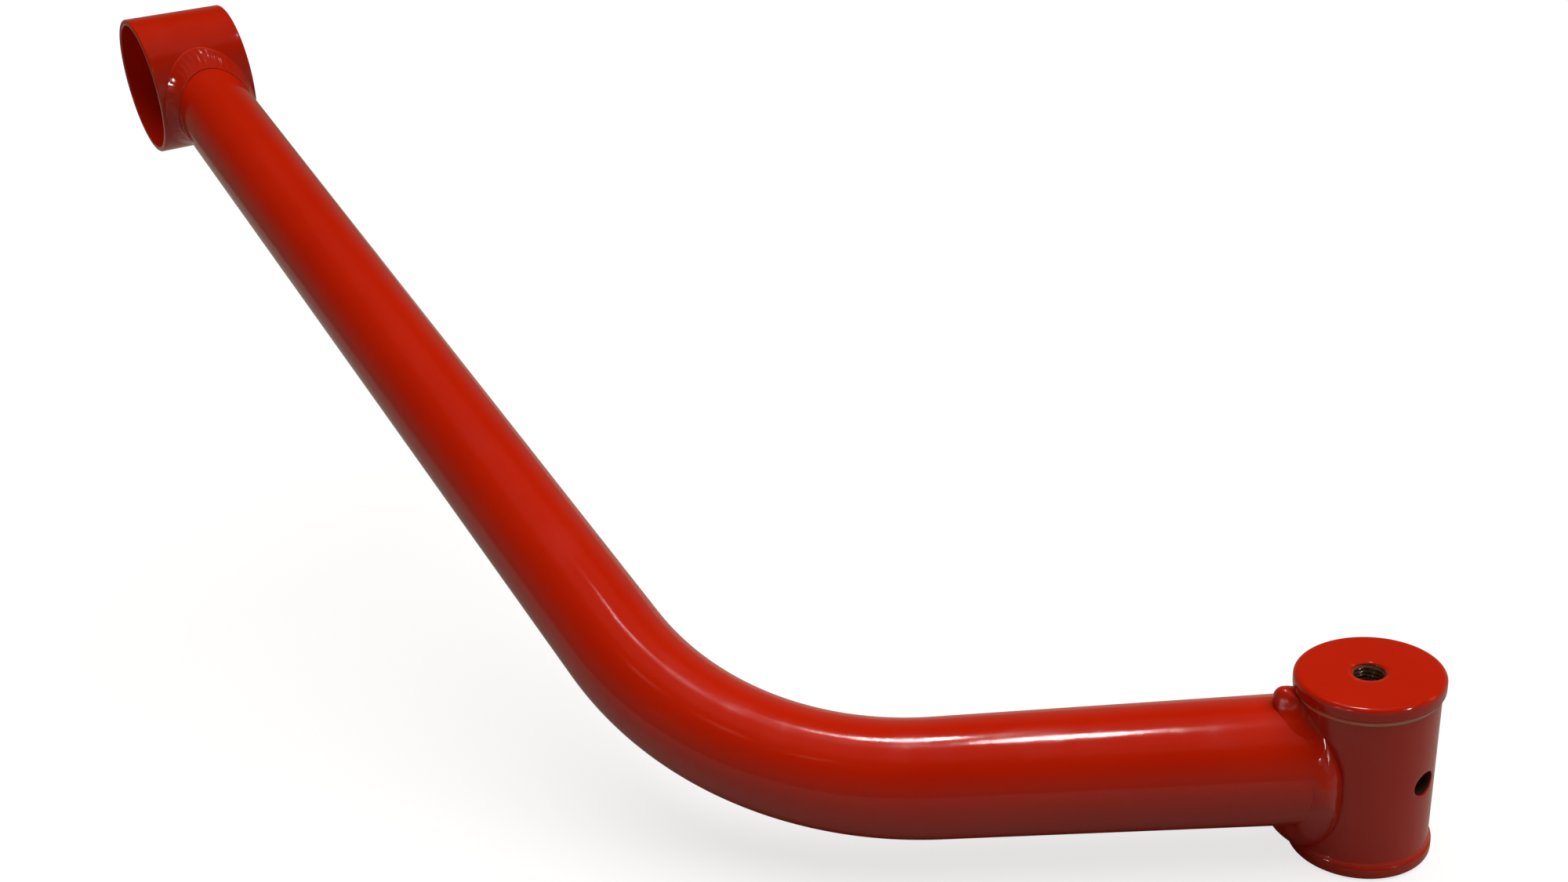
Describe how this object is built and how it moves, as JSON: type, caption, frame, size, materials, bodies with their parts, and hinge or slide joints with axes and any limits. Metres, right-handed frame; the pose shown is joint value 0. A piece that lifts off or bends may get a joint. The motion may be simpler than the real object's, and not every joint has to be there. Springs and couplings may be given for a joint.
{
  "type": "control arm",
  "caption": "Welded tubular suspension control arm with one bend, a thin bushing eye at one end and an upright pivot barrel with tapped, flanged ends at the other.",
  "frame": {"origin": "centre of the eye's bore, halfway along the sleeve", "axes": "+Z parallel to the pivot barrel's axis; seen from above, the long leg of the tube runs from the eye along +X; the eye's bore is 6.3 degrees of roll off the Y axis"},
  "size_m": [0.7045, 0.221, 0.3273],
  "materials": {
    "paint": "glossy red powder coat",
    "painted_plug": "glossy red powder coat, with bare steel in the tapped hole"
  },
  "bodies": {
    "root": {"arm_tube": "paint", "bushing_eye": "paint", "pivot_barrel": "paint", "upper_end_plug": "painted_plug", "lower_end_plug": "painted_plug", "eye_weld": "paint", "barrel_weld": "paint", "upper_plug_weld": "paint", "lower_plug_weld": "paint"}
  },
  "joints": []
}
